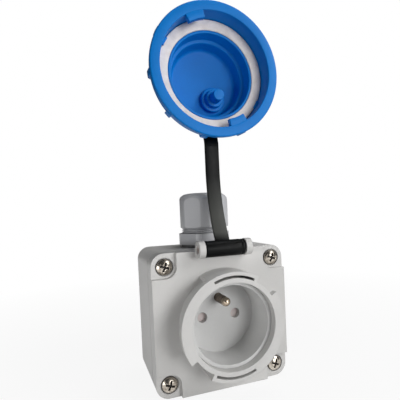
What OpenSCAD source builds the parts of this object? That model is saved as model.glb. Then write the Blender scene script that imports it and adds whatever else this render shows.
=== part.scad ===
// Two-pole socket outlet with earth pin, in a flanged surface box with a
// bayonet cap on a hinged strap. X is to the right, Z is up, and the box backs
// onto the wall at y = 0, so the socket faces -Y. The origin is the centre of
// the back face.

/* [Box] */
// Side of the square box and its front flange
box_side = 74; // [74:1:84]
// Depth of the box behind the gasket
box_depth = 35; // [34:1:50]
// Radius of the box's four long corners
corner_r = 7; // [5:0.5:8]
// Wall thickness of the box and flange skirt
box_wall = 2.6; // [2.2:0.1:3]
// Thickness of the gasket in the seam
gasket_t = 1; // [0.8:0.1:1.6]
// Depth of the seam groove outside the gasket
seam_recess = 1.4; // [1:0.1:1.6]
// Radial width of the gasket
gasket_width = 1.8; // [1.4:0.1:2]
// Distance between the wall holes, across
wall_hole_dx = 44; // [36:1:46]
// Distance between the wall holes, up
wall_hole_dz = 30; // [24:1:34]
// Diameter of the wall holes
wall_hole_d = 4.4; // [4:0.1:5.2]

/* [Front flange] */
// Depth of the front flange
flange_depth = 11; // [10:0.5:14]
// Thickness of the flange's front plate
plate_t = 3; // [2.6:0.1:3.4]
// Distance between the flange screws, both ways
screw_pitch = 60; // [58:0.5:61]
// Depth of the corner pockets
pocket_depth = 2.4; // [2:0.1:3]
// Radius of a corner pocket round its screw
pocket_r = 5.8; // [5.4:0.1:6.4]

/* [Screws] */
// Diameter of the flange screws' thread
screw_d = 4; // [3.5:0.1:4.5]
// Diameter of the screw heads
head_d = 8.4; // [7.6:0.1:9]
// Height of the screw heads
head_h = 2.7; // [2.2:0.1:3]
// Length of the flange screws under the head
screw_length = 22; // [16:1:26]
// Width of the cross recess arms
cross_w = 1.1; // [0.8:0.1:1.3]
// Height of the screw heads' straight edge
head_edge = 1; // [0.6:0.1:1.2]

/* [Collar] */
// Height of the collar in front of the flange
collar_h = 16; // [14:0.5:18]
// Radial wall of the collar tube
collar_wall = 2.3; // [2:0.1:2.6]
// Outer radius of the bayonet lips
lip_r = 27.2; // [26.8:0.1:27.4]
// Thickness of the lips, front to back
lip_t = 3.6; // [2.8:0.1:4]
// Angle where the left lip starts, seen from the front
lip_start = 117; // [114:1:120]
// Angle where the left lip ends
lip_end = 213; // [209:1:216]
// Angle where the slotted wall starts, after the entry gap
wall_start = 240; // [237:1:243]
// Thickness of the slotted outer walls
guard_t = 1.8; // [1.5:0.1:1.9]
// Angle of solid material at each end of a slot
slot_margin = 4; // [3:0.5:6]

/* [Socket] */
// Radius of the plug recess
recess_r = 19.9; // [19.5:0.1:20.2]
// Wall of the insert cup
insert_wall = 1.8; // [1.5:0.1:2]
// Clearance between fitted mouldings
fit = 0.1; // [0.05:0.01:0.15]
// Distance from the collar's edge back to the insert's edge
insert_setback = 4.5; // [3.5:0.5:6]
// Depth of the recess floor behind the flange's front
floor_depth = 8; // [7:0.5:9]
// Thickness of the recess floor
floor_t = 3; // [2.6:0.1:3.6]
// Distance between the two contact holes
contact_pitch = 19; // [18.5:0.5:19.5]
// Diameter of the contact holes
contact_hole_d = 5.4; // [5.2:0.1:5.8]
// Height of the earth pin above the contact holes
pin_rise = 10; // [9.5:0.5:10.5]
// Diameter of the earth pin
pin_d = 4.8; // [4.6:0.1:5]
// Length of the earth pin in front of the floor
pin_length = 14; // [12:0.5:16]
// Length of the terminal block
block_depth = 14; // [12:0.5:16]
// Distance of the insert's screws from the centre
ear_r = 27.5; // [27:0.5:28.5]
// Travel of the shutter
shutter_travel = 6.5; // [6:0.1:7]
// Thickness of the shutter
shutter_t = 1.8; // [1.4:0.1:2]

/* [Hinge and strap] */
// Height of the hinge axis above the box's middle
hinge_z = 38; // [37.8:0.1:39]
// Distance of the hinge axis in front of the flange
hinge_out = 4.6; // [4.5:0.1:5.2]
// Radius of the hinge barrel
barrel_r = 4.2; // [4:0.05:4.2]
// Length of the hinge barrel
barrel_length = 21.6; // [20:0.2:24]
// Thickness of each hinge lug
lug_t = 3.3; // [3:0.1:4]
// Diameter of the hinge pin
hinge_pin_d = 4; // [3:0.1:4.4]
// Width of the strap
strap_w = 7.6; // [6.5:0.1:9]
// Thickness of the strap
strap_t = 2.4; // [2:0.1:2.6]
// Length from the hinge axis to the strap's bend
bend_length = 33; // [32:0.5:35]
// Lean of the strap at its bend, backwards
bend_lean = 8; // [7:0.5:9]
// Radius of the strap's curve behind the cap
back_curve_r = 9; // [8.6:0.1:9.6]
// Gap between neighbouring lengths of strap
strap_gap = 0.4; // [0.3:0.05:0.6]

/* [Cap] */
// Height of the open cap's centre
cap_z = 128.5; // [127:0.5:130]
// Distance of the open cap's rim in front of the flange
cap_out = 6; // [5:0.5:7]
// Distance of the closed cap's rim in front of the collar, before it is pressed on
cap_standoff = 1.5; // [1:0.1:2.5]
// Outer radius of the bayonet ring
ring_r = 34; // [33:0.1:34.2]
// Width of the bayonet ring's face
ring_face = 5; // [4:0.1:5]
// Depth of the ring's full-width wall
ring_side = 2.5; // [1.5:0.1:4]
// Depth from the ring's face to the seal
seal_depth = 9; // [8.8:0.1:9.4]
// Thickness of the seal
seal_t = 2.2; // [1.8:0.1:2.6]
// Radial length of the bayonet lugs
lug_length = 3.7; // [2.5:0.1:3.8]
// Thickness of the bayonet lugs
lug_thick = 3; // [2.4:0.1:3.4]
// Angle of the upper lug's middle
lug_angle = 112; // [106:1:118]
// Angle that a lug spans
lug_span = 19.5; // [16:0.5:21]
// Angle of a retaining clip ahead of each lug
clip_angle = 38; // [34:1:44]
// Number of grip ribs
rib_count = 10; // [6:1:14]
// Angle of the first grip rib
rib_angle = 6; // [0:1:20]
// Height of the grip ribs
rib_height = 0.3; // [0:0.1:1]
// Width of the grip ribs
rib_width = 3.4; // [2.5:0.1:4.5]
// Inner radius of the lid's cup
cup_r = 21.6; // [21.2:0.1:22]
// Wall of the lid's cup
cup_wall = 1.6; // [1.5:0.1:2]
// Depth from the ring's face to the cup's floor
cup_depth = 24; // [22:0.5:25]
// Radial width of the step inside the cup
cup_step = 1.8; // [1.4:0.1:2]
// Sideways place of the boss on the cup's floor
boss_x = 4.5; // [0:0.5:6]
// Distance of the boss below the cup's centre
boss_drop = 9; // [7:0.5:10]
// Height of the post on the boss, from the floor
post_h = 13; // [9:0.5:15]
// Diameter of the post
post_d = 6; // [5:0.1:6.5]

/* [Cable gland] */
// Distance of the gland's axis from the wall
gland_y = 19.5; // [18.5:0.5:20]
// Diameter of the gland's thread
gland_d = 24.8; // [20:0.2:25]
// Width across the flats of the gland's body
gland_flats = 27.6; // [27:0.1:28.5]
// Height of the gland body's hexagon
gland_hex_h = 6.3; // [5:0.1:8]
// Thickness of the washer under the gland
gland_seal_t = 1.6; // [1:0.1:2]
// Outer radius of the dome nut
dome_r = 14.7; // [14:0.1:15]
// Height of the dome nut
dome_h = 19.7; // [17:0.1:22]
// Gap between the dome nut and the body's hexagon
thread_gap = 3.2; // [2:0.1:4]
// Radius of the dome nut's rounded shoulder
dome_round = 5.5; // [4:0.1:6]
// Radius of the cable opening
cable_r = 6.5; // [5:0.1:7]
// Thickness of the locknut
locknut_t = 5; // [4:0.1:6]

/* [Hidden] */
$fn = 96;

// Small amount that lets joined shapes run into each other
eps = 0.02;
// Running clearance round the hinge pin
run = 0.08;

// Planes from the wall to the front
box_front_y = -box_depth;
flange_back_y = box_front_y - gasket_t;
flange_front_y = flange_back_y - flange_depth;
plate_back_y = flange_front_y + plate_t;
collar_front_y = flange_front_y - collar_h;
pocket_y = flange_front_y + pocket_depth;
floor_front_y = flange_front_y + floor_depth;
floor_back_y = floor_front_y + floor_t;
block_back_y = floor_back_y + block_depth;

// Corner screws
screw_x = screw_pitch / 2;
boss_r = screw_d / 2 + 2.2;
counterbore_depth = 1;
counterbore_r = head_d / 2 + 0.5;

// Collar
bore_r = recess_r + insert_wall + fit;
tube_r = bore_r + collar_wall;
lip_lap = 0.6;

// Contacts
contact_x = contact_pitch / 2;
sleeve_r = 3.4;
insert_r = recess_r + insert_wall;
sleeve_bore_r = pin_d / 2 + 0.05;
chamber_r = sleeve_r + 0.2;
terminal_w = 8;
terminal_gap = 0.2;
terminal_screw_deep = 5;
pin_collar_r = 3.3;
terminal_l = 8;
terminal_screw_r = 1.7;
shutter_room = shutter_t + 0.4;
spring_r = 2;
spring_wire = 0.5;
spring_seat_z = -17;
shutter_low_z = -5.2;
shutter_top_z = shutter_travel + 4.2;
shutter_w = 27;
spring_room_x = 3;

// Ears that carry the insert and the block on two bosses of the flange plate
ear_boss_r = 3.4;
ear_front_y = plate_back_y + 3;
ear_t = 2;
ear_back_y = ear_front_y + ear_t;
block_ear_y = floor_back_y + 1.5;
insert_screw_r = 1.4;
insert_head_r = 2.7;
insert_screw_grip = plate_t + 1.5;

// Hinge, in the Y-Z plane
hinge_y = flange_front_y - hinge_out;
lug_r = barrel_r + 0.2;
side_gap = 0.2;
lug_inner_x = barrel_length / 2 + side_gap;

// The strap's bend lies where two turns about X, at the hinge and at the bend,
// bring the open cap to face the collar after half a turn in all.
cap_y = flange_front_y - cap_out;
closed_y = collar_front_y - cap_standoff;
sum_y = closed_y + cap_y - 2 * hinge_y;
sum_z = cap_z - 2 * hinge_z;
half_swing = acos(norm([sum_y, sum_z]) / 2 / bend_length);
bend_tilt = half_swing + atan2(sum_y, sum_z);
bend_y = hinge_y + bend_length * sin(bend_tilt);
bend_z = hinge_z + bend_length * cos(bend_tilt);
// Middle of the strap's thickness at the bend, and the curve down to the hinge
mid_y = bend_y + strap_t / 2 * cos(bend_lean);
mid_z = bend_z - strap_t / 2 * sin(bend_lean);
to_hinge = [hinge_y - mid_y, hinge_z - mid_z];
bow_r = -(to_hinge * to_hinge) / 2 / (to_hinge * [cos(bend_lean), -sin(bend_lean)]);
bow_y = mid_y - bow_r * cos(bend_lean);
bow_z = mid_z + bow_r * sin(bend_lean);
root_lean = asin((bow_z - hinge_z) / bow_r);
gap_lean = strap_gap / 2 / bow_r * 180 / PI;

// Cap
ring_inner_r = ring_r - ring_face;
flange_clear = 0.3;
lid_flange_t = 1.8;
ring_back_t = 1.8;
ring_play = 0.3;
lid_flange_depth = seal_depth + seal_t;
ring_back_depth = lid_flange_depth + lid_flange_t + ring_play;
ring_depth = ring_back_depth + ring_back_t;
cup_outer_r = cup_r + cup_wall;
ring_back_r = cup_outer_r + 1.5;
ring_neck_r = ring_back_r + 2.2;
cup_lip = 0.2;
cup_bottom = cup_depth + cup_wall;
cup_round = 3;
cup_back_r = cup_outer_r - cup_step;
lid_flange_r = ring_inner_r - flange_clear;
clip_span = 9;
clip_reach = 1.1;
clip_t = 1.4;
step_depth = (seal_depth + cup_depth) / 2;
boss_base_r = 6.75;
boss_base_h = 3;
boss_mid_r = 4.8;
boss_mid_h = 6;
rivet_r = 1.6;
rivet_depth = 7;
lid_back_y = cap_y + cup_bottom;
eyelet_y = lid_back_y;
eyelet_r = 7.5;
eyelet_foot = 2;
// The strap's curve from the bow to the back of the lid
back_shift = eyelet_y + strap_t / 2 - bow_y - bow_r;
back_turn = acos(1 - back_shift / 2 / back_curve_r);
back_rise = 2 * back_curve_r * sin(back_turn);
eyelet_low_z = cap_z - boss_drop - eyelet_r - eyelet_foot;
curve_top_z = eyelet_low_z - strap_gap;
curve_low_z = curve_top_z - back_rise;

// Gland
box_top_z = box_side / 2;
gland_hex_z = box_top_z + gland_seal_t;
gland_neck_z = gland_hex_z + gland_hex_h;
dome_z = gland_neck_z + thread_gap;
dome_top_z = dome_z + dome_h;
gland_r = gland_d / 2;
neck_r = gland_r - 0.4;
gland_bore_r = neck_r - 2.6;
gland_tail = 12;
neck_h = thread_gap + 7;

// Turns a drawing as seen from the front, and stands it on the plane y = back
module facing(back, up = 0) {
    translate([0, back, up]) rotate([90, 0, 0]) children();
}

// Carries a flat drawing from the plane y = back to the plane y = front
module slab(back, front) {
    facing(back) linear_extrude(back - front) children();
}

module tube(outer, inner, back, front) {
    facing(back) difference() {
        cylinder(r = outer, h = back - front);
        translate([0, 0, -1]) cylinder(r = inner, h = back - front + 2);
    }
}

// Part of a round wall between two angles
module sector(outer, inner, from, to, back, front) {
    facing(back) rotate([0, 0, from]) rotate_extrude(angle = to - from)
        translate([inner, 0]) square([outer - inner, back - front]);
}

module rounded_square(side, r) {
    square([side, side - 2 * r], center = true);
    square([side - 2 * r, side], center = true);
    for (sx = [-1, 1], sz = [-1, 1])
        translate([sx, sz] * (side / 2 - r)) circle(r = r);
}

module at_corners() {
    for (sx = [-1, 1], sz = [-1, 1]) translate([sx * screw_x, 0, sz * screw_x]) children();
}

module at_ears() {
    for (sx = [-1, 1]) translate([sx * ear_r, 0, 0]) children();
}

module at_contacts() {
    for (sx = [-1, 1]) translate([sx * contact_x, 0, 0]) children();
}

// Round bar or bore along Y
module bar(r, back, front) {
    facing(back) cylinder(r = r, h = back - front);
}

module wall_box() {
    inner = box_side - 2 * box_wall;
    color("lightgray") difference() {
        union() {
            difference() {
                slab(0, box_front_y) rounded_square(box_side, corner_r);
                slab(-box_wall, box_front_y - 1) rounded_square(inner, corner_r - box_wall);
            }
            at_corners() bar(boss_r, -eps, box_front_y);
        }
        at_corners() bar(screw_d / 2 + 0.05, box_front_y + screw_length, box_front_y - 1);
        for (sx = [-1, 1], sz = [-1, 1])
            translate([sx * wall_hole_dx / 2, 0, sz * wall_hole_dz / 2])
                bar(wall_hole_d / 2, 1, -box_wall - 1);
        translate([0, -gland_y, box_top_z - box_wall - 1])
            cylinder(r = gland_r + fit, h = box_wall + 2);
    }
}

module box_gasket() {
    outer = box_side - 2 * seam_recess;
    color("dimgray") difference() {
        slab(box_front_y, flange_back_y) rounded_square(outer, corner_r - seam_recess);
        slab(box_front_y + 1, flange_back_y - 1)
            rounded_square(outer - 2 * gasket_width, corner_r - seam_recess - gasket_width);
    }
}

// Pocket round each flange screw, open to both outer sides of its corner
module corner_pockets() {
    reach = box_side / 2 - screw_x + 1;
    for (sx = [-1, 1], sz = [-1, 1]) slab(pocket_y, flange_front_y - 1)
        translate([sx, sz] * screw_x) {
            circle(r = pocket_r);
            translate([sx * (reach - pocket_r) / 2, sz * reach / 2])
                square([reach + pocket_r, reach], center = true);
            translate([sx * reach / 2, sz * (reach - pocket_r) / 2])
                square([reach, reach + pocket_r], center = true);
        }
}

// Lips and slotted walls of the bayonet collar; they repeat every half turn
module collar() {
    wall_end = lip_start + 180 + lip_lap;
    tube(tube_r, bore_r, flange_front_y + eps, collar_front_y);
    for (turn = [0, 180]) rotate([0, -turn, 0]) {
        sector(lip_r, tube_r - eps, lip_start, lip_end, collar_front_y + lip_t, collar_front_y);
        sector(lip_r, lip_r - guard_t, wall_start, wall_end, flange_front_y + eps, collar_front_y);
        for (from = [wall_start, wall_end - slot_margin])
            sector(lip_r, tube_r - eps, from, from + slot_margin, flange_front_y + eps,
                   collar_front_y);
    }
}

// Hinge lug: a round eye with a foot on the flange's front
module lug_outline() {
    circle(r = lug_r);
    translate([0, -lug_r]) square([hinge_out + 1, lug_r + box_top_z - hinge_z]);
}

module hinge_lugs() {
    for (x = [-lug_inner_x - lug_t, lug_inner_x])
        translate([x, hinge_y, hinge_z]) rotate([90, 0, 90]) linear_extrude(lug_t) lug_outline();
}

module front_flange() {
    inner = box_side - 2 * box_wall;
    color("gainsboro") difference() {
        union() {
            difference() {
                slab(flange_back_y, flange_front_y) rounded_square(box_side, corner_r);
                slab(flange_back_y + 1, plate_back_y)
                    rounded_square(inner, corner_r - box_wall);
            }
            at_corners() bar(pocket_r + 0.8, flange_back_y, plate_back_y - eps);
            collar();
            hinge_lugs();
            at_ears()
                bar(ear_boss_r, ear_front_y, plate_back_y - eps);
        }
        bar(bore_r, flange_back_y + 1, collar_front_y - 1);
        corner_pockets();
        at_corners() bar(screw_d / 2 + 0.25, flange_back_y + 1, flange_front_y - 1);
        at_corners() bar(counterbore_r, pocket_y + counterbore_depth, flange_front_y - 1);
        translate([-barrel_length, hinge_y, hinge_z]) rotate([0, 90, 0])
            cylinder(r = hinge_pin_d / 2 + run, h = 2 * barrel_length);
        at_ears()
            bar(insert_screw_r + 0.05, ear_front_y + 1, ear_front_y - insert_screw_grip);
    }
}

module socket_insert() {
    front = collar_front_y + insert_setback;
    color("gainsboro") difference() {
        union() {
            bar(insert_r, floor_back_y, front);
            bar(insert_r + 2.2, plate_back_y + 2, plate_back_y);
            slab(ear_back_y, ear_front_y) ear_outline();
        }
        bar(recess_r, floor_front_y, front - 1);
        at_contacts()
            bar(contact_hole_d / 2, floor_back_y + 1, floor_front_y - 1);
        translate([0, 0, pin_rise]) bar(pin_d / 2 + 0.05, floor_back_y + 1, floor_front_y - 1);
        at_ears()
            bar(insert_screw_r + 0.2, ear_back_y + 1, ear_front_y - 1);
    }
}

module ear_outline() {
    for (sx = [-1, 1]) translate([sx * ear_r, 0]) circle(r = ear_boss_r);
    square([2 * ear_r, 2 * ear_boss_r], center = true);
}

// Insulating block: shutter room in front, three contact chambers through it
module terminal_block() {
    low = shutter_low_z - shutter_travel - fit;
    color("dimgray") difference() {
        union() {
            bar(insert_r, block_back_y, floor_back_y);
            difference() {
                slab(block_ear_y, ear_back_y) ear_outline();
                bar(insert_r + fit, floor_back_y, ear_back_y - 1);
            }
        }
        translate([-shutter_w / 2 - fit, floor_back_y - 1, low])
            cube([shutter_w + 2 * fit, shutter_room + 1, shutter_top_z + fit - low]);
        translate([-spring_room_x, floor_back_y - 1, spring_seat_z])
            cube([2 * spring_room_x, shutter_room + 1, low + 1 - spring_seat_z]);
        at_contacts()
            bar(chamber_r, block_back_y + 1, floor_back_y - 1);
        translate([0, 0, pin_rise]) bar(pin_collar_r + 0.1, block_back_y + 1, floor_back_y - 1);
        at_ears()
            bar(insert_screw_r + 0.2, block_ear_y + 1, ear_back_y - 1);
    }
}

// Screw terminal behind the block, with its wire hole from above
module terminal(x, z) {
    translate([x, block_back_y + terminal_gap, z]) difference() {
        translate([-terminal_w / 2, 0, -terminal_w / 2])
            cube([terminal_w, terminal_l, terminal_w]);
        translate([0, terminal_l / 2, -terminal_w]) cylinder(r = 1.7, h = 2 * terminal_w);
        translate([0, terminal_l - terminal_screw_deep, 0]) rotate([-90, 0, 0])
            cylinder(r = terminal_screw_r + 0.05, h = terminal_screw_deep + 1);
    }
}

// Split sleeve that grips a plug's pin
module contact(x) {
    color("goldenrod") {
        difference() {
            translate([x, 0, 0])
                bar(sleeve_r, block_back_y + terminal_gap + eps, floor_back_y + shutter_room);
            translate([x, 0, 0])
                bar(sleeve_bore_r, block_back_y - 1.5, floor_back_y);
            translate([x - 0.4, floor_back_y, -sleeve_r - 1])
                cube([0.8, block_depth - 3, 2 * sleeve_r + 2]);
        }
        terminal(x, 0);
    }
}

module live_contact() {
    contact(contact_x);
}

module neutral_contact() {
    contact(-contact_x);
}

module earth_pin() {
    tip_r = pin_d / 2;
    color("peru") {
        translate([0, 0, pin_rise]) {
            bar(tip_r, block_back_y, floor_front_y - pin_length + tip_r);
            translate([0, floor_front_y - pin_length + tip_r, 0]) sphere(r = tip_r);
            bar(pin_collar_r, block_back_y + terminal_gap + eps, floor_back_y + shutter_room);
        }
        terminal(0, pin_rise);
    }
}

module terminal_screws() {
    top = block_back_y + terminal_gap + terminal_l;
    color("silver")
        for (place = [[-contact_x, 0], [contact_x, 0], [0, pin_rise]])
            translate([place[0], 0, place[1]]) difference() {
                bar(terminal_screw_r, top - 0.4, top - terminal_screw_deep + 0.4);
                translate([-terminal_screw_r - 0.3, top - 1, -0.3])
                    cube([2 * terminal_screw_r + 0.6, 2, 0.6]);
            }
}

module insert_screws() {
    seat = block_ear_y;
    slot = 2 * insert_head_r + 0.6;
    color("silver") at_ears() difference() {
        union() {
            bar(insert_screw_r, seat, ear_front_y - insert_screw_grip + 0.5);
            bar(insert_head_r, seat + 1.6, seat);
        }
        translate([-0.4, seat + 0.9, -slot / 2]) cube([0.8, 1, slot]);
        translate([-slot / 2, seat + 0.9, -0.4]) cube([slot, 1, 0.8]);
    }
}

// Plate with two windows that come in front of the contacts when it is pushed down
module shutter() {
    back = floor_back_y + fit + shutter_t;
    color("mistyrose") difference() {
        translate([-shutter_w / 2 + fit, floor_back_y + fit, shutter_low_z])
            cube([shutter_w - 2 * fit, shutter_t, shutter_top_z - shutter_low_z]);
        for (sx = [-1, 1]) translate([sx * contact_x, 0, shutter_travel])
            bar(pin_d / 2 + 0.4, back + 1, floor_back_y - 1);
        translate([0, 0, pin_rise]) bar(pin_d / 2 + 0.5, back + 1, floor_back_y - 1);
        translate([-pin_d / 2 - 0.5, floor_back_y - 1, pin_rise])
            cube([pin_d + 1, shutter_t + 3, shutter_travel + 2]);
    }
}

// One turn of wire is a ring of short bars, each a little higher than the last
module shutter_spring() {
    turns = 5;
    steps = 12;
    height = shutter_low_z - spring_seat_z - spring_wire - 0.2;
    middle_y = floor_back_y + shutter_room / 2;
    count = turns * steps;
    path = [for (i = [0:count]) [
        spring_r * cos(i * 360 / steps),
        (shutter_room / 2 - spring_wire / 2 - 0.1) * sin(i * 360 / steps),
        spring_seat_z + spring_wire / 2 + 0.1 + height * i / count]];
    side = spring_wire / 2;
    ring = [[-side, -side], [side, -side], [side, side], [-side, side]];
    points = [for (i = [0:count], corner = ring)
        let (a = i * 360 / steps)
        [0, middle_y, 0] + path[i] + [corner[0] * cos(a), corner[0] * sin(a), corner[1]]];
    color("silver") polyhedron(points, concat(
        [[3, 2, 1, 0]],
        [for (i = [0:count - 1], j = [0:3])
            [4 * i + j, 4 * i + (j + 1) % 4, 4 * i + 4 + (j + 1) % 4]],
        [for (i = [0:count - 1], j = [0:3])
            [4 * i + j, 4 * i + 4 + (j + 1) % 4, 4 * i + 4 + j]],
        [[for (j = [0:3]) 4 * count + j]]));
}

// Pan head screw with a cross recess
module cover_screws() {
    seat = pocket_y + counterbore_depth;
    front = seat - head_h;
    dome_h = head_h - head_edge;
    ball_r = (head_d * head_d / 4 + dome_h * dome_h) / 2 / dome_h;
    color("silver") at_corners() {
        bar(screw_d / 2, seat + screw_length, seat - eps);
        difference() {
            intersection() {
                bar(head_d / 2, seat, front);
                translate([0, front + ball_r, 0]) sphere(r = ball_r);
            }
            for (turn = [20, 110]) rotate([0, turn, 0])
                translate([-head_d * 0.3, front - 1, -cross_w / 2])
                    cube([head_d * 0.6, 1 + head_h * 0.55, cross_w]);
        }
    }
}

module hinge_pin() {
    reach = lug_inner_x + lug_t - 0.7;
    color("saddlebrown") translate([-reach, hinge_y, hinge_z]) rotate([0, 90, 0])
        cylinder(r = hinge_pin_d / 2, h = 2 * reach);
}

// Strap bent about a line along X. Its lean from upright, backwards, goes from
// low_lean at the bottom to high_lean at the top, and the line lies in front.
module strap_bow(centre_y, centre_z, radius, low_lean, high_lean) {
    translate([0, centre_y, centre_z]) rotate([90, 0, 90]) rotate([0, 0, -low_lean])
        strap_sweep(radius, low_lean - high_lean);
}

module strap_sweep(radius, turn) {
    rotate_extrude(angle = turn, $fn = 360)
        translate([radius - strap_t / 2, -strap_w / 2]) square([strap_t, strap_w]);
}

module strap_arm() {
    collar_w = 2.4;
    color("dimgray") difference() {
        union() {
            translate([-barrel_length / 2, hinge_y, hinge_z]) rotate([0, 90, 0]) {
                cylinder(r = barrel_r - 0.25, h = barrel_length);
                cylinder(r = barrel_r, h = barrel_length - collar_w);
            }
            strap_bow(bow_y, bow_z, bow_r, root_lean - 1, bend_lean + gap_lean);
        }
        translate([-barrel_length, hinge_y, hinge_z]) rotate([0, 90, 0])
            cylinder(r = hinge_pin_d / 2 + run, h = 2 * barrel_length);
    }
}

// One side of the upper half seen from its edge, from the bend up to the eyelet;
// out is how far behind the strap's middle it lies
function strap_side(out) = concat(
    [for (i = [0:6]) let (lean = (bend_lean - gap_lean) * (1 - i / 6))
        [bow_y + (bow_r + out) * cos(lean), bow_z - (bow_r + out) * sin(lean)]],
    [for (i = [0:10]) let (lean = back_turn * i / 10)
        [bow_y + bow_r + back_curve_r - (back_curve_r - out) * cos(lean),
         curve_low_z + (back_curve_r - out) * sin(lean)]],
    [for (i = [1:10]) let (lean = back_turn * (1 - i / 10))
        [eyelet_y + strap_t / 2 - back_curve_r + (back_curve_r + out) * cos(lean),
         curve_top_z - (back_curve_r + out) * sin(lean)]]);

module strap_end() {
    front = strap_side(-strap_t / 2);
    back = strap_side(strap_t / 2);
    count = len(back);
    color("dimgray") rotate([90, 0, 90]) translate([0, 0, -strap_w / 2]) linear_extrude(strap_w)
        polygon(concat(front, [for (i = [1:count]) back[count - i]]));
}

module strap_eyelet() {
    boss_z = cap_z - boss_drop;
    color("dimgray") difference() {
        union() {
            translate([boss_x, 0, boss_z]) bar(eyelet_r, eyelet_y + strap_t, eyelet_y);
            translate([-strap_w / 2, eyelet_y, eyelet_low_z])
                cube([strap_w, strap_t, boss_z - eyelet_low_z]);
        }
        translate([boss_x, 0, boss_z])
            bar(rivet_r + 0.05, eyelet_y + strap_t + 1, eyelet_y - 1);
    }
}

module strap_rivet() {
    seat = eyelet_y + strap_t;
    color("black") translate([boss_x, 0, cap_z - boss_drop]) {
        bar(rivet_r, seat + eps, lid_back_y - rivet_depth + 0.5);
        bar(3.4, seat + 1.6, seat);
    }
}

module lid() {
    top = seal_depth + cup_lip;
    step_r = cup_r - cup_step;
    outline = concat(
        [[0, -cup_depth], [step_r - 0.8, -cup_depth], [step_r, -step_depth],
         [cup_r, -step_depth], [cup_r + 0.3, -top], [cup_outer_r, -top],
         [cup_outer_r, -lid_flange_depth], [lid_flange_r, -lid_flange_depth],
         [lid_flange_r, -lid_flange_depth - lid_flange_t],
         [cup_outer_r, -lid_flange_depth - lid_flange_t],
         [cup_outer_r, -step_depth - cup_wall], [cup_back_r, -step_depth - cup_wall]],
        [for (a = [0:15:90]) [cup_back_r - cup_round * (1 - cos(a)),
                              -cup_bottom + cup_round * (1 - sin(a))]],
        [[0, -cup_bottom]]);
    floor_y = cap_y + cup_depth;
    color("dodgerblue") difference() {
        union() {
            facing(cap_y, cap_z) rotate_extrude() polygon(outline);
            translate([boss_x, 0, cap_z - boss_drop]) {
                bar(boss_base_r, floor_y + eps, floor_y - boss_base_h);
                bar(boss_mid_r, floor_y, floor_y - boss_mid_h);
                bar(post_d / 2, floor_y, floor_y - post_h);
            }
        }
        translate([boss_x, 0, cap_z - boss_drop])
            bar(rivet_r + 0.05, lid_back_y + 1, lid_back_y - rivet_depth);
    }
}

module lid_seal() {
    color("whitesmoke") translate([0, 0, cap_z])
        tube(lid_flange_r, cup_outer_r + fit, cap_y + lid_flange_depth, cap_y + seal_depth);
}

module grip_rib() {
    crest = ring_r + rib_height;
    rotate([90, 0, 0]) translate([0, 0, -rib_width / 2]) linear_extrude(rib_width)
        polygon([[ring_r - 2, -1.8], [crest - 0.4, -1.8], [crest, -2.4], [crest, -7],
                 [ring_r - 2.5, -11], [ring_r - 4.5, -11], [ring_r - 4.5, -6]]);
}

module bayonet_ring() {
    outline = concat(
        [[ring_inner_r, 0], [ring_r - 0.5, 0], [ring_r, -0.5]],
        [for (a = [0:15:90]) [ring_neck_r + (ring_r - ring_neck_r) * cos(a),
                              -ring_side - (ring_depth - ring_side) * sin(a)]],
        [[ring_back_r, -ring_depth], [ring_back_r, -ring_back_depth],
         [ring_inner_r, -ring_back_depth]]);
    clip_y = cap_y + seal_depth - ring_play;
    color("dodgerblue") {
        facing(cap_y, cap_z) {
            rotate_extrude() polygon(outline);
            for (i = [0:rib_count - 1]) rotate([0, 0, rib_angle + i * 360 / rib_count]) grip_rib();
        }
        translate([0, 0, cap_z]) for (half = [0, 180]) {
            sector(ring_inner_r + eps, ring_inner_r - lug_length, half + lug_angle - lug_span / 2,
                   half + lug_angle + lug_span / 2, cap_y + lug_thick, cap_y);
            sector(ring_inner_r + eps, ring_inner_r - clip_reach,
                   half + lug_angle + clip_angle - clip_span / 2,
                   half + lug_angle + clip_angle + clip_span / 2, clip_y, clip_y - clip_t);
        }
    }
}

// Stands a piece of the gland on its axis at a height
module on_gland(z) {
    translate([0, -gland_y, z]) children();
}

module hexagon(flats) {
    circle(r = flats / 2 / cos(30), $fn = 6);
}

module gland_seal() {
    color("dimgray") on_gland(box_top_z) difference() {
        cylinder(r = dome_r - 1, h = gland_seal_t);
        translate([0, 0, -1]) cylinder(r = gland_r + fit, h = gland_seal_t + 2);
    }
}

module gland_body() {
    color("gainsboro") on_gland(gland_hex_z) difference() {
        union() {
            translate([0, 0, -gland_tail]) cylinder(r = gland_r, h = gland_tail + eps);
            intersection() {
                linear_extrude(gland_hex_h) hexagon(gland_flats);
                cylinder(r = dome_r + 0.3, h = gland_hex_h);
            }
            translate([0, 0, gland_hex_h - eps]) cylinder(r = neck_r, h = neck_h);
        }
        translate([0, 0, -gland_tail - 1])
            cylinder(r = gland_bore_r, h = gland_tail + gland_hex_h + neck_h + 2);
    }
}

module gland_grommet() {
    height = neck_h + 1;
    color("dimgray") on_gland(gland_neck_z) difference() {
        cylinder(r = gland_bore_r - 0.1, h = height);
        translate([0, 0, -1]) cylinder(r = cable_r - 1, h = height + 2);
    }
}

// Crown whose fingers close on the grommet when the dome nut is tightened
module gland_claw() {
    height = 5.4;
    color("gainsboro") on_gland(gland_neck_z + neck_h + 0.1) difference() {
        cylinder(r = neck_r - 0.2, h = height);
        translate([0, 0, -1]) cylinder(r = gland_bore_r, h = height + 2);
        for (turn = [0:30:150]) rotate([0, 0, turn])
            translate([-neck_r, -0.5, 1.4]) cube([2 * neck_r, 1, height]);
    }
}

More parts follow.
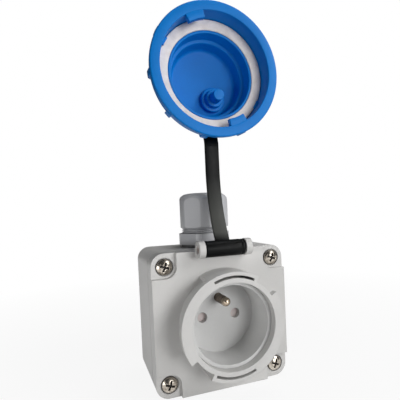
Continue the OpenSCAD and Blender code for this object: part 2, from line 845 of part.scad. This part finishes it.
module dome_nut() {
    shoulder = dome_h - dome_round;
    cavity_r = neck_r + 0.3;
    outline = concat(
        [[cavity_r, 0], [dome_r - 0.4, 0], [dome_r, 0.4]],
        [for (a = [0:15:90]) [dome_r - dome_round * (1 - cos(a)), shoulder + dome_round * sin(a)]],
        [[cable_r + 0.5, dome_h], [cable_r, dome_h - 0.6], [cable_r, dome_h - 1.5],
         [cavity_r, shoulder]]);
    color("gainsboro") on_gland(dome_z) intersection() {
        rotate_extrude() polygon(outline);
        rotate([0, 0, 15]) linear_extrude(dome_h) hexagon(gland_flats);
    }
}

module gland_locknut() {
    color("gainsboro") on_gland(box_top_z - box_wall - locknut_t) difference() {
        linear_extrude(locknut_t) hexagon(gland_flats + 2.2);
        translate([0, 0, -1]) cylinder(r = gland_r + 0.05, h = locknut_t + 2);
    }
}

wall_box();
box_gasket();
front_flange();
socket_insert();
terminal_block();
live_contact();
neutral_contact();
earth_pin();
terminal_screws();
insert_screws();
shutter();
shutter_spring();
cover_screws();
hinge_pin();
strap_arm();
strap_end();
strap_eyelet();
strap_rivet();
lid();
lid_seal();
bayonet_ring();
gland_body();
gland_seal();
gland_grommet();
gland_claw();
dome_nut();
gland_locknut();
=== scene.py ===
from math import cos, degrees, pi, radians, sin

import bmesh
import bpy
from mathutils import Matrix, Vector


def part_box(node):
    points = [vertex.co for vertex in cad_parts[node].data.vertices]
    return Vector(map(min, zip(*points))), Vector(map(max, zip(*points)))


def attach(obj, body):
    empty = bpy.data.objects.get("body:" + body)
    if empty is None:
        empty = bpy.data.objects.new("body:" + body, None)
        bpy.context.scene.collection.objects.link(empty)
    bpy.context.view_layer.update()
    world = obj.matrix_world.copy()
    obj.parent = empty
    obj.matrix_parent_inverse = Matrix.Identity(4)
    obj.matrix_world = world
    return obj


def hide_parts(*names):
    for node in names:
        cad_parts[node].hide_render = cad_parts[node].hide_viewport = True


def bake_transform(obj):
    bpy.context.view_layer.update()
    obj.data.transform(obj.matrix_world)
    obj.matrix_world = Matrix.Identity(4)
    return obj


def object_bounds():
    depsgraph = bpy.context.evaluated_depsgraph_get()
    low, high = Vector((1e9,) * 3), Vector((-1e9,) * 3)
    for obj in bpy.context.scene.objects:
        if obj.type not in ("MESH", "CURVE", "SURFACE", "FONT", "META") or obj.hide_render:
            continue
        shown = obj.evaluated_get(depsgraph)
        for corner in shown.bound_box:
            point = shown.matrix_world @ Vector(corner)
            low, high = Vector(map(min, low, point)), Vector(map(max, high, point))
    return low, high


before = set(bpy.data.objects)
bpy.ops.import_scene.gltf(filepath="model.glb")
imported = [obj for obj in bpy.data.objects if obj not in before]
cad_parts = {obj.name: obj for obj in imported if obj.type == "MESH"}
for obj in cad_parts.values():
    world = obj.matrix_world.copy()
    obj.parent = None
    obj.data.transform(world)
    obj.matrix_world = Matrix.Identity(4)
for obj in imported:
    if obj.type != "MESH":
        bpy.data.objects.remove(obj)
cad_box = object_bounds()


# ---- Camera and framing ----
# A short lens some 16 cm in front of the socket, above its middle and to the left
# of it, so that the left side of the box and the gland both show.
camera_data = bpy.data.cameras.new("camera")
camera_data.lens = 33.0
camera_data.sensor_width = 36
camera_data.shift_x = -0.058
camera_data.shift_y = 0.053
camera_data.clip_start = 0.005
camera = bpy.data.objects.new("camera", camera_data)
bpy.context.collection.objects.link(camera)
to_right = Vector((0.9335, -0.356, -0.0433)).normalized()
ahead = Vector((0.355, 0.934, -0.029))
ahead = (ahead - ahead.dot(to_right) * to_right).normalized()
upward = to_right.cross(ahead)
camera.matrix_world = Matrix.Translation((-0.06658, -0.22705, 0.05719)) @ Matrix(
    (to_right, upward, -ahead)).transposed().to_4x4()
bpy.context.scene.camera = camera
bpy.context.scene.view_settings.view_transform = "Standard"


# ---- Floor and studio light ----
# A white sweep under four soft lamps: one high on the right, which leaves the left
# side of the box in half shade, then one in front, one above and a weak one at the
# left. The sweep looks white to the eye and to polished metal, and takes the shadow.
class Amount:
    """A socket in a material, so that a finish can add and multiply its shades"""
    def __init__(self, finish, socket):
        self.finish = finish
        self.socket = socket

    def sum(self, operation, first, second):
        return self.finish.node("Math", {"operation": operation}, {0: first, 1: second})

    def __add__(self, other):
        return self.sum("ADD", self, other)

    def __sub__(self, other):
        return self.sum("SUBTRACT", self, other)

    def __mul__(self, other):
        return self.sum("MULTIPLY", self, other)

    def __rsub__(self, other):
        return self.sum("SUBTRACT", other, self)

    __radd__ = __add__
    __rmul__ = __mul__


class Finish:
    """One material: a shader and the noises and shades that feed it"""
    def __init__(self, name, shader="BsdfPrincipled"):
        self.material = bpy.data.materials.new(name)
        self.material.use_nodes = True
        self.nodes = self.material.node_tree.nodes
        self.links = self.material.node_tree.links
        self.nodes.clear()
        self.output = self.nodes.new("ShaderNodeOutputMaterial")
        self.shader = self.nodes.new("ShaderNode" + shader)
        self.links.new(self.shader.outputs[0], self.output.inputs[0])

    def feed(self, socket, value):
        if isinstance(value, Amount):
            self.links.new(value.socket, socket)
        else:
            socket.default_value = value

    def node(self, kind, settings=(), sockets=(), output=0):
        made = self.nodes.new("ShaderNode" + kind)
        for key, value in dict(settings).items():
            setattr(made, key, value)
        for key, value in dict(sockets).items():
            self.feed(made.inputs[key], value)
        return Amount(self, made.outputs[output])

    def place(self):
        return self.node("TexCoord", output=3)

    def axis(self, number):
        return self.node("SeparateXYZ", {}, {0: self.place()}, number)

    def noise(self, size, detail=2.0, roughness=0.5):
        return self.node("TexNoise", {}, {"Vector": self.place(), "Scale": 1 / size,
                                          "Detail": detail, "Roughness": roughness})

    def between(self, amount, low, high):
        return self.node("MapRange", {"clamp": True}, {0: amount, 1: low, 2: high})

    def blend(self, amount, first, second):
        return self.node("Mix", {"data_type": "RGBA"}, {0: amount, 6: first, 7: second}, 2)

    def surface(self, **values):
        for key, value in values.items():
            self.feed(self.shader.inputs[key.replace("_", " ")], value)

    def relief(self, height, depth, rounding=0.0):
        sockets = {"Height": height, "Distance": depth, "Strength": 1.0}
        if rounding:
            sockets["Normal"] = self.node("Bevel", {"samples": 6}, {0: rounding})
        self.feed(self.shader.inputs["Normal"], self.node("Bump", {}, sockets))


floor_z = cad_box[0][2]
bm = bmesh.new()
bmesh.ops.create_grid(bm, x_segments=1, y_segments=1, size=3,
                      matrix=Matrix.Translation((0, 0, floor_z)))
floor_mesh = bpy.data.meshes.new("floor")
bm.to_mesh(floor_mesh)
bm.free()
floor = bpy.data.objects.new("floor", floor_mesh)
bpy.context.collection.objects.link(floor)

sweep = Finish("white_sweep", "MixShader")
paint = sweep.nodes.new("ShaderNodeBsdfDiffuse")
paint.inputs[0].default_value = (0.6, 0.6, 0.6, 1)
glow = sweep.nodes.new("ShaderNodeEmission")
seen = sweep.nodes.new("ShaderNodeLightPath")
direct = Amount(sweep, seen.outputs["Is Camera Ray"]) + Amount(sweep, seen.outputs["Is Glossy Ray"])
from_middle = sweep.node("VectorMath", {"operation": "LENGTH"}, {0: sweep.place()}, 1)
away = sweep.between(from_middle, 0.08, 0.35)
sweep.feed(sweep.shader.inputs[0],
           sweep.node("Math", {"operation": "MINIMUM"}, {0: direct, 1: 1.0}) * (0.9 + 0.1 * away))
sweep.links.new(paint.outputs[0], sweep.shader.inputs[1])
sweep.links.new(glow.outputs[0], sweep.shader.inputs[2])
floor.data.materials.append(sweep.material)

world = bpy.data.worlds.new("studio")
bpy.context.scene.world = world
world.use_nodes = True
sky = world.node_tree.nodes
sky.clear()
dome = sky.new("ShaderNodeBackground")
dome.inputs[0].default_value = (1, 1, 1, 1)
ray = sky.new("ShaderNodeLightPath")
either = sky.new("ShaderNodeMath")
either.operation = "MAXIMUM"
lift = sky.new("ShaderNodeMapRange")
lift.inputs[3].default_value = 0.06
lift.inputs[4].default_value = 1.0
world.node_tree.links.new(ray.outputs["Is Camera Ray"], either.inputs[0])
world.node_tree.links.new(ray.outputs["Is Transmission Ray"], either.inputs[1])
world.node_tree.links.new(either.outputs[0], lift.inputs[0])
world.node_tree.links.new(lift.outputs[0], dome.inputs[1])
world.node_tree.links.new(dome.outputs[0], sky.new("ShaderNodeOutputWorld").inputs[0])


def lamp(name, place, target, size, power, spread=180):
    """A square soft lamp that faces its target, with its power in watts"""
    data = bpy.data.lights.new(name, "AREA")
    data.shape = "SQUARE"
    data.size = size
    data.energy = power
    data.spread = radians(spread)
    made = bpy.data.objects.new(name, data)
    bpy.context.collection.objects.link(made)
    made.location = place
    made.rotation_euler = (Vector(target) - Vector(place)).to_track_quat("-Z", "Y").to_euler()


lamp("key_lamp", (0.6, -0.6, 0.55), (0, -0.03, 0.03), 0.4, 3.9)
lamp("fill_lamp", (0.3, -0.9, 0.15), (0, -0.03, 0.05), 0.4, 3.8)
lamp("top_lamp", (0.15, 0.0, 0.8), (0, -0.03, 0.03), 0.3, 2.6)
lamp("side_lamp", (-0.3, -0.2, -0.02), (-0.03, -0.02, -0.015), 0.12, 0.062, 60)


# ---- Box, flange and gland mouldings ----
# Light grey polycarbonate, spark-eroded to a fine matte grain on the outside. The
# box and the flange are two mouldings from the same batch, the gland is nylon.
def rgb(red, green, blue):
    """A colour on the usual 0 to 255 scale, as the light that it sends back"""
    return tuple(c / 12.92 if c <= 0.04045 else ((c + 0.055) / 1.055) ** 2.4
                 for c in (red / 255, green / 255, blue / 255)) + (1.0,)


def dress(node, finish):
    """Gives a CAD solid its finish"""
    piece = bpy.data.objects[node]
    piece.data.materials.clear()
    piece.data.materials.append(finish.material)


def grey_moulding(name, colour, gloss, grain):
    """A cloudy moulded grey with fine specks, scuffs and a moulded grain"""
    finish = Finish(name)
    cloud = finish.noise(0.018, 3.0)
    speck = finish.noise(0.0016, 4.0, 0.6)
    shade = finish.between(cloud * 0.7 + speck * 0.3, 0.3, 0.7)
    light = tuple(c * 1.03 for c in colour[:3]) + (1.0,)
    dark = tuple(c * 0.955 for c in colour[:3]) + (1.0,)
    scuff = finish.between(finish.noise(0.006, 6.0, 0.7), 0.62, 0.72)
    finish.surface(Base_Color=finish.blend(shade, dark, light), IOR=1.46,
                   Roughness=gloss + 0.08 * cloud + 0.1 * scuff)
    finish.relief(finish.noise(0.0005, 2.0), grain, 0.0005)
    return finish


housing_grey = grey_moulding("housing_grey", rgb(199, 198, 196), 0.42, 0.00003)
insert_grey = grey_moulding("insert_grey", rgb(204, 204, 203), 0.38, 0.00001)
gland_grey = grey_moulding("gland_grey", rgb(186, 187, 190), 0.33, 0.00001)
block_white = grey_moulding("block_white", rgb(222, 218, 210), 0.5, 0.00002)
dress("wall_box", housing_grey)
dress("front_flange", housing_grey)
dress("socket_insert", insert_grey)
dress("terminal_block", block_white)
for moulding in ("gland_body", "gland_claw", "gland_locknut"):
    dress(moulding, gland_grey)


# ---- Gaskets and grommet ----
# Black rubber in the seam and under the gland, and the grommet that grips the
# cable. Their cut faces are slightly dusty.
rubber = Finish("black_rubber")
dust = rubber.between(rubber.noise(0.003, 5.0, 0.65), 0.45, 0.75)
rubber.surface(Base_Color=rubber.blend(dust * 0.5, rgb(26, 26, 27), rgb(60, 59, 57)),
               Roughness=0.62 + 0.15 * dust)
rubber.relief(rubber.noise(0.0007, 3.0), 0.00004)
for soft in ("box_gasket", "gland_grommet"):
    dress(soft, rubber)

grey_rubber = Finish("grey_rubber")
film = grey_rubber.between(grey_rubber.noise(0.003, 5.0, 0.65), 0.4, 0.7)
grey_rubber.surface(Base_Color=grey_rubber.blend(film, rgb(120, 121, 122), rgb(140, 140, 139)),
                    Roughness=0.6 + 0.12 * film)
grey_rubber.relief(grey_rubber.noise(0.0007, 3.0), 0.00003)
dress("gland_seal", grey_rubber)


# ---- Contacts and earth pin ----
# Turned brass. The pin is brown with age along its side, where plugs rub it
# least, and bright at its rounded tip.
brass = Finish("contact_brass")
tarnish = brass.between(brass.noise(0.004, 5.0, 0.6), 0.4, 0.7)
brass.surface(Base_Color=brass.blend(tarnish, rgb(196, 164, 104), rgb(132, 104, 66)),
              Metallic=1.0, Roughness=0.28 + 0.2 * tarnish)
brass.relief(brass.noise(0.0004, 2.0), 0.00001, 0.0003)
dress("live_contact", brass)
dress("neutral_contact", brass)

pin_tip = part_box("earth_pin")[0][1]
bright_end = pin_tip + 0.0022
brown_start = pin_tip + 0.0042
aged = Finish("aged_pin")
along = aged.axis(1)
side = aged.between(along + 0.0012 * aged.noise(0.002, 3.0), bright_end, brown_start)
patch = aged.between(aged.noise(0.0025, 5.0, 0.6), 0.4, 0.65)
worn = aged.blend(patch, rgb(96, 84, 72), rgb(140, 126, 110))
aged.surface(Base_Color=aged.blend(side, rgb(196, 180, 160), worn), Metallic=1.0,
             Roughness=0.24 + 0.2 * side)
aged.relief(aged.noise(0.0005, 3.0), 0.00002, 0.0004)
dress("earth_pin", aged)


# ---- Screws ----
# Pan heads of nickel-plated steel with a cross recess, and the inner screws and the
# shutter's spring in the same plating. It is warm and a little worn. Painted shade darkens
# the bottom of the cross recesses in the four corner heads and a ring round those heads.
nickel = Finish("nickel_plate")
head_r = 0.0042
head_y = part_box("cover_screws")[0][1]
screw_x = 0.03
across = nickel.node("Math", {"operation": "ABSOLUTE"}, {0: nickel.axis(0)}) - screw_x
rise = nickel.node("Math", {"operation": "ABSOLUTE"}, {0: nickel.axis(2)}) - screw_x
off_axis = nickel.node("Math", {"operation": "SQRT"}, {0: across * across + rise * rise})
rubbed = nickel.between(nickel.noise(0.0014, 5.0, 0.7), 0.42, 0.68)
# painted shade: the bottom of each corner head's cross recess and a ring at its rim are darkened in
# the colour, standing in for the shade and dark reflection there
deep = nickel.between(nickel.axis(1), head_y + 0.0007, head_y + 0.0012)
painted_recess_shade = deep * nickel.between(off_axis, 0.0031, 0.0027)
painted_rim_shade = nickel.between(off_axis, head_r - 0.0005, head_r - 0.0001)
recess_and_rim_shade = painted_recess_shade + 0.85 * painted_rim_shade
plate = nickel.blend(rubbed, rgb(212, 204, 192), rgb(132, 121, 108))
nickel.surface(Base_Color=nickel.blend(recess_and_rim_shade, plate, rgb(34, 28, 24)), Metallic=1.0 - 0.8 * recess_and_rim_shade,
               Roughness=0.17 + 0.2 * rubbed + 0.4 * recess_and_rim_shade)
nickel.relief(nickel.noise(0.0006, 4.0), 0.00004, 0.0004)
for fastener in ("cover_screws", "terminal_screws", "insert_screws", "shutter_spring"):
    dress(fastener, nickel)


# ---- Hinge pin ----
# A steel pin through both lugs, stained brown. Only its ends show, in the outer
# faces of the lugs.
pin_steel = Finish("hinge_pin_steel")
stain = pin_steel.between(pin_steel.noise(0.002, 4.0), 0.4, 0.65)
pin_steel.surface(Base_Color=pin_steel.blend(stain, rgb(190, 168, 160), rgb(140, 118, 110)),
                  Metallic=0.6, Roughness=0.4 + 0.15 * stain)
pin_steel.relief(pin_steel.noise(0.0004, 3.0), 0.00002, 0.0003)
dress("hinge_pin", pin_steel)


# ---- Shutter ----
# A thin moulded plate behind the recess floor, slightly pink beside the greys. It
# shows through the two contact holes.
shutter_pink = Finish("shutter_plastic")
flow = shutter_pink.between(shutter_pink.noise(0.005, 3.0), 0.3, 0.7)
shutter_pink.surface(Base_Color=shutter_pink.blend(flow, rgb(206, 192, 190), rgb(216, 206, 203)),
                     Roughness=0.45 + 0.08 * flow)
shutter_pink.relief(shutter_pink.noise(0.0006, 2.0), 0.00001, 0.0003)
dress("shutter", shutter_pink)


# ---- Lid ----
# A blue cup that closes over the recess, with a step in its wall and a flange that
# the ring turns on. A boss with a post stands on its floor and takes the strap's
# rivet from behind. The moulding is satin with faint flow marks.
blue = Finish("blue_moulding")
wave = blue.noise(0.02, 3.0)
fleck = blue.noise(0.0012, 4.0, 0.6)
tone = blue.between(wave * 0.7 + fleck * 0.3, 0.32, 0.68)
blue.surface(Base_Color=blue.blend(tone, rgb(0, 111, 192), rgb(4, 121, 204)),
             Specular_IOR_Level=0.15, Roughness=0.38 + 0.1 * wave)
blue.relief(blue.noise(0.0006, 2.0), 0.00001, 0.0004)

axes = {"X": (1, 0, 0), "Y": (0, 1, 0), "Z": (0, 0, 1)}


def turned(bm, outline, centre, around="Y", steps=120):
    """Spins an outline round an axis; its corners are (radius, place, rounding) in mm"""
    corners = []
    for radius, place, rounding in outline:
        at = {"X": (place, 0, radius), "Y": (radius, place, 0), "Z": (radius, 0, place)}[around]
        corners.append((bm.verts.new(Vector(at) / 1000 + Vector(centre)), rounding / 1000))
    loop = [v for v, _ in corners]
    if outline[0][0] > 0:
        loop.append(loop[0])
    for first, second in zip(loop, loop[1:]):
        bm.edges.new((first, second))
    for vertex, rounding in corners:
        if rounding:
            bmesh.ops.bevel(bm, geom=[vertex], offset=rounding, offset_type="OFFSET", segments=4,
                            profile=0.5, affect="VERTICES", material=-1)
    bm.verts.index_update()
    wire = [v for v in bm.verts if not v.link_faces]
    edges = [e for e in bm.edges if not e.link_faces]
    bmesh.ops.spin(bm, geom=wire + edges, cent=centre, axis=axes[around], angle=2 * pi,
                   steps=steps, use_merge=True)
    bmesh.ops.remove_doubles(bm, verts=bm.verts, dist=1e-7)


def piece(name, bm, finish, body, *nodes, sharp=40):
    """Closes a shape into a piece that rides on a body and stands for CAD nodes"""
    bmesh.ops.recalc_face_normals(bm, faces=bm.faces)
    for face in bm.faces:
        face.smooth = True
    for edge in bm.edges:
        edge.smooth = len(edge.link_faces) == 2 and degrees(edge.calc_face_angle(0)) < sharp
    mesh = bpy.data.meshes.new(name)
    bm.to_mesh(mesh)
    bm.free()
    mesh.materials.append(finish.material)
    made = bpy.data.objects.new(name, mesh)
    bpy.context.collection.objects.link(made)
    if body:
        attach(made, body)
    if nodes:
        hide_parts(*nodes)
    return made


# Radii of the lid in mm, and places behind the cap's rim
cup_r, outer_r, flange_r, back_r = 21.6, 23.2, 28.7, 21.4
cup_lip, cup_step, cup_floor, lid_back = 9.2, 16.5, 24, 25.6
flange_front, flange_back, shoulder = 11.2, 13, 18.1
lid_low, lid_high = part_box("lid")
rim_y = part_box("bayonet_ring")[0][1]
cap_z = (lid_low[2] + lid_high[2]) / 2
cap_middle = (0, rim_y, cap_z)
boss_x, boss_z = 0.0045, cap_z - 0.009

bm = bmesh.new()
turned(bm, [(0, cup_floor, 0), (18.9, cup_floor, 1.8), (19.7, cup_step, 0.7), (cup_r, cup_step, 0.6),
            (cup_r + 0.2, cup_lip, 0.45), (outer_r, cup_lip, 0.4), (outer_r, flange_front, 0),
            (flange_r, flange_front, 0.2), (flange_r, flange_back, 0.3), (outer_r, flange_back, 0.6),
            (outer_r, shoulder, 0.8), (back_r, shoulder, 0.5), (back_r, lid_back, 2.4),
            (0, lid_back, 0)], cap_middle)
piece("lid_shell", bm, blue, "cap", "lid")

# Three tiers, the lowest sunk a little into the cup's floor
post_r, middle_r, base_r = 3, 4.8, 6.75
post_end, middle_end, base_end = 11, 18, 21
sunk = cup_floor + 0.3
bm = bmesh.new()
turned(bm, [(0, post_end, 0), (post_r, post_end, 0.35), (post_r, middle_end, 0.6),
            (middle_r, middle_end, 0.5), (middle_r, base_end, 0.6), (base_r, base_end, 0.7),
            (base_r, sunk, 0), (0, sunk, 0)], (boss_x, rim_y, boss_z), steps=64)
piece("lid_post", bm, blue, "cap")


# ---- Bayonet ring ----
# A deep blue ring round the lid. It has two bayonet lugs at its rim, two small
# clips that keep it on the lid, and ten short grips on its shoulder.
inner_r, ring_r, neck_r, hole_r = 29, 34, 26.9, 24.7
ring_side, ring_shelf, ring_back = 2.4, 13.3, 15.1
lug_angle, clip_angle = 102.25, 145.5
grip_count, grip_angle, grip_width = 10, 6, 0.0034


def soften(bm, width, bend=35):
    """Rounds, by a width in mm, the edges where two faces meet at more than the bend"""
    sharp = [e for e in bm.edges if len(e.link_faces) == 2 and degrees(e.calc_face_angle(0)) > bend]
    bmesh.ops.bevel(bm, geom=sharp, offset=width / 1000, offset_type="OFFSET", segments=2,
                    profile=0.5, affect="EDGES", clamp_overlap=True, material=-1)


def swept(bm, corners, angle, span, steps):
    """A block with (radius, depth) corners in mm, swept from an angle seen from the front"""
    turn = Matrix.Rotation(-radians(angle), 3, "Y")
    block = [bm.verts.new(turn @ (Vector((r, d, 0)) / 1000)) for r, d in corners]
    for v in block:
        v.co += Vector(cap_middle)
    face = bm.faces.new(block)
    bmesh.ops.spin(bm, geom=[face], cent=cap_middle, axis=(0, -1, 0), angle=radians(span), steps=steps)


bm = bmesh.new()
turned(bm, [(inner_r, 0, 0.35), (ring_r, 0, 0.7), (ring_r, ring_side, 1), (33.2, 7, 2.5),
            (31.1, 12, 1.5), (neck_r, ring_back, 1), (hole_r, ring_back, 0.3),
            (hole_r, ring_shelf, 0.3), (inner_r, ring_shelf, 0.4)], cap_middle, steps=160)
piece("ring_collar", bm, blue, "cap_ring", "bayonet_ring")

root_r = inner_r + 0.3
lug_r = inner_r - 3.7
clip_r = inner_r - 1.1
bm = bmesh.new()
for half in (0, 180):
    swept(bm, [(lug_r, 0.02), (root_r, 0.02), (root_r, 3), (lug_r, 3)], half + lug_angle, 19.5, 10)
    swept(bm, [(clip_r, 7.3), (root_r, 7.3), (root_r, 8.7), (clip_r, 8.7)], half + clip_angle, 9, 5)
bmesh.ops.recalc_face_normals(bm, faces=bm.faces)
soften(bm, 0.25, 50)
piece("ring_lugs", bm, blue, "cap_ring")

crest_r = ring_r + 0.3
bm = bmesh.new()
for grip in range(grip_count):
    corners = [(32, 1.8), (crest_r - 0.4, 1.8), (crest_r, 2.4), (crest_r, 7), (31.5, 11), (29.5, 11),
               (29.5, 6)]
    face = bm.faces.new([bm.verts.new((r / 1000, d / 1000, -grip_width / 2)) for r, d in corners])
    grown = bmesh.ops.extrude_face_region(bm, geom=[face])["geom"]
    bmesh.ops.translate(bm, vec=(0, 0, grip_width),
                        verts=[g for g in grown if isinstance(g, bmesh.types.BMVert)])
    block = [v for v in bm.verts if not v.tag]
    turn = Matrix.Rotation(-radians(grip_angle + 360 / grip_count * grip), 3, "Y")
    bmesh.ops.rotate(bm, verts=block, cent=(0, 0, 0), matrix=turn)
    bmesh.ops.translate(bm, vec=cap_middle, verts=block)
    for v in block:
        v.tag = True
bmesh.ops.recalc_face_normals(bm, faces=bm.faces)
soften(bm, 0.4, 30)
piece("ring_grips", bm, blue, "cap_ring")


# ---- Lid seal ----
# A flat off-white rubber ring in front of the lid's flange. The ring draws it onto
# the collar's edge.
seal_white = Finish("seal_rubber")
chalk = seal_white.between(seal_white.noise(0.004, 4.0, 0.6), 0.35, 0.7)
seal_white.surface(Base_Color=seal_white.blend(chalk, rgb(238, 231, 226), rgb(222, 214, 208)),
                   Roughness=0.6 + 0.12 * chalk)
seal_white.relief(seal_white.noise(0.0008, 3.0), 0.00003, 0.0003)
seal_front = 9
seal_r = outer_r + 0.1
bm = bmesh.new()
turned(bm, [(seal_r, seal_front, 0.35), (flange_r, seal_front, 0.35), (flange_r, flange_front, 0.1),
            (seal_r, flange_front, 0.1)], cap_middle)
piece("cap_seal", bm, seal_white, "cap", "lid_seal")


# ---- Strap ----
# One black band of flexible plastic that curves up from a barrel at the hinge and
# hooks in behind the ring to an eye on the lid. It is satin, and a painted sheen
# makes it paler low down, where it bows.
black = Finish("strap_plastic")
crease = black.between(black.noise(0.002, 5.0, 0.6), 0.4, 0.7)
height = black.axis(2)
# painted sheen: the strap is painted paler between these heights, low down where it bows back
painted_sheen = black.between(height, 0.076, 0.054) * black.between(height, 0.042, 0.046)
soot = black.blend(crease, rgb(5, 6, 6), rgb(12, 13, 14))
black.surface(Base_Color=black.blend(painted_sheen, soot, rgb(74, 75, 72)),
              Specular_IOR_Level=0.12, Roughness=0.38 + 0.14 * crease)
black.relief(black.noise(0.0007, 3.0), 0.00003, 0.0004)

# Sizes of the band in mm: it bows on a large curve about a point in front of the
# hinge, runs straight up, and hooks in and up again on two small curves
strap_w, strap_t = 7.6, 2.4
bow = Vector((0, -111.325, 79.08))
bow_r = 72.488
root_lean = 34.5
straight_y = bow.y + bow_r
hook_r = 9
hook_turn = 72.66
hook_z, eye_z = 92.418, 109.6
eye_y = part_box("strap_eyelet")[0][1] * 1000 + strap_t / 2
eye_middle = (boss_x, eye_y / 1000, boss_z)


def strap_start(bm, y, z, lean):
    """The strap's cut end at a place, in mm, leaning back by some degrees"""
    half = strap_t / 2
    across = Vector((0, cos(radians(lean)), -sin(radians(lean))))
    middle = Vector((0, y, z))
    sides = [(-strap_w / 2, -half), (strap_w / 2, -half), (strap_w / 2, half), (-strap_w / 2, half)]
    ends = [middle + across * side + Vector((x, 0, 0)) for x, side in sides]
    return bm.faces.new([bm.verts.new(e / 1000) for e in ends])


def strap_turn(bm, face, y, z, angle, steps):
    """Carries the strap on round a point, and gives its new end"""
    grown = bmesh.ops.spin(bm, geom=[face], cent=(0, y / 1000, z / 1000), axis=(1, 0, 0),
                           angle=radians(angle), steps=steps)
    return [g for g in grown["geom_last"] if isinstance(g, bmesh.types.BMFace)][0]


def strap_run(bm, face, rise, steps):
    """Carries the strap straight up, and gives its new end"""
    for _ in range(steps):
        grown = bmesh.ops.extrude_face_region(bm, geom=[face])["geom"]
        bmesh.ops.translate(bm, vec=(0, 0, rise / steps / 1000),
                            verts=[g for g in grown if isinstance(g, bmesh.types.BMVert)])
        bmesh.ops.delete(bm, geom=[face], context="FACES_ONLY")
        face = [g for g in grown if isinstance(g, bmesh.types.BMFace)][0]
    return face


def round_strap(bm, end):
    """Rounds the long edges and leaves the end that butts on the next piece square"""
    bmesh.ops.delete(bm, geom=[end], context="FACES_ONLY")
    bmesh.ops.remove_doubles(bm, verts=bm.verts, dist=1e-7)
    bmesh.ops.recalc_face_normals(bm, faces=bm.faces)
    soften(bm, 0.45, 60)
    bmesh.ops.holes_fill(bm, edges=[e for e in bm.edges if e.is_boundary], sides=0)


bm = bmesh.new()
start = bow + bow_r * Vector((0, cos(radians(root_lean)), -sin(radians(root_lean))))
face = strap_start(bm, start.y, start.z, root_lean)
face = strap_turn(bm, face, bow.y, bow.z, root_lean, 28)
face = strap_run(bm, face, hook_z - bow.z, 4)
round_strap(bm, face)
band = piece("strap_band", bm, black, None, "strap_end")
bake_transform(band)

# Barrel round the hinge pin, with a groove near its right end
barrel_end, barrel_r, pin_r = 10.8, 4.2, 2.1
groove_r = barrel_r - 0.25
bm = bmesh.new()
turned(bm, [(pin_r, -barrel_end, 0.1), (barrel_r, -barrel_end, 0.5), (barrel_r, 8.3, 0.25),
            (groove_r, 8.5, 0), (groove_r, 8.8, 0), (barrel_r - 0.05, 9, 0.2),
            (barrel_r - 0.05, barrel_end, 0.9), (pin_r, barrel_end, 0.1)],
       (0, -0.0516, 0.038), "X", 64)
piece("strap_barrel", bm, black, "strap_lower", "strap_arm")

# Hook of the strap behind the ring, and its eye on the lid's back
rivet_hole_r, eye_r = 1.66, 7.5
bm = bmesh.new()
butt = strap_start(bm, straight_y, hook_z, 0)
face = strap_turn(bm, butt, straight_y + hook_r, hook_z, -hook_turn, 14)
face = strap_turn(bm, face, eye_y - hook_r, eye_z, hook_turn, 14)
strap_run(bm, face, 4, 2)
round_strap(bm, butt)
turned(bm, [(rivet_hole_r, -strap_t / 2, 0), (eye_r, -strap_t / 2, 0.4), (eye_r, strap_t / 2, 0.4),
            (rivet_hole_r, strap_t / 2, 0)], eye_middle, steps=64)
hook = piece("strap_hook", bm, black, None, "strap_eyelet")
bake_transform(hook)

# Rivet: a shank into the boss and a low rounded head on the eye
shank_r, rivet_r = 1.6, 3.4
under_head = strap_t / 2 + 0.05
bm = bmesh.new()
turned(bm, [(0, -5, 0), (shank_r, -5, 0), (shank_r, under_head, 0), (rivet_r, under_head, 0.2),
            (rivet_r, 2.8, 0.9), (0, 2.8, 0)], eye_middle, steps=48)
piece("rivet_head", bm, black, "cap", "strap_rivet")


# ---- Gland ----
# Nylon cable gland: a hexagon body screwed into the box, its thread showing for
# a few turns, and a dome nut with flats that are rounded into its shoulder.
gland_y = -0.0195
dome_z, dome_h, dome_r, flat_r = 0.0481, 19.7, 14.7, 0.0138
bm = bmesh.new()
turned(bm, [(12.3, 0, 0.1), (dome_r - 0.3, 0, 0.5), (dome_r, 0.8, 0.2), (dome_r, dome_h, 5.4),
            (7, dome_h, 0.4), (6.5, dome_h - 0.6, 0), (6.5, 18.2, 0), (12.3, 14.2, 0)],
       (0, gland_y, dome_z), "Z", 96)
for flat in range(6):
    way = radians(45 + 60 * flat)
    normal = Vector((cos(way), sin(way), 0))
    cut = bmesh.ops.bisect_plane(bm, geom=bm.verts[:] + bm.edges[:] + bm.faces[:], dist=1e-6,
                                 plane_co=Vector((0, gland_y, dome_z)) + normal * flat_r,
                                 plane_no=normal, clear_outer=True)["geom_cut"]
    bmesh.ops.holes_fill(bm, edges=[e for e in cut if isinstance(e, bmesh.types.BMEdge)], sides=0)
bmesh.ops.recalc_face_normals(bm, faces=bm.faces)
piece("gland_dome", bm, gland_grey, "housing", "dome_nut", sharp=14)

# Three turns of thread between the body's hexagon and the dome nut
neck_z, thread_pitch = 44.9, 1.1
valley_r, thread_r, core_r = 12.0, 13.2, 11.6
thread = [(core_r, neck_z, 0)]
for turn_number in range(3):
    low = neck_z + 0.15 + thread_pitch * turn_number
    thread += [(valley_r, low, 0), (thread_r, low + 0.4, 0.1), (thread_r, low + 0.65, 0.1),
               (valley_r, low + 1.05, 0)]
bm = bmesh.new()
turned(bm, thread + [(core_r, neck_z + 3.4, 0)], (0, gland_y, 0), "Z", 96)
piece("gland_thread", bm, gland_grey, "housing")
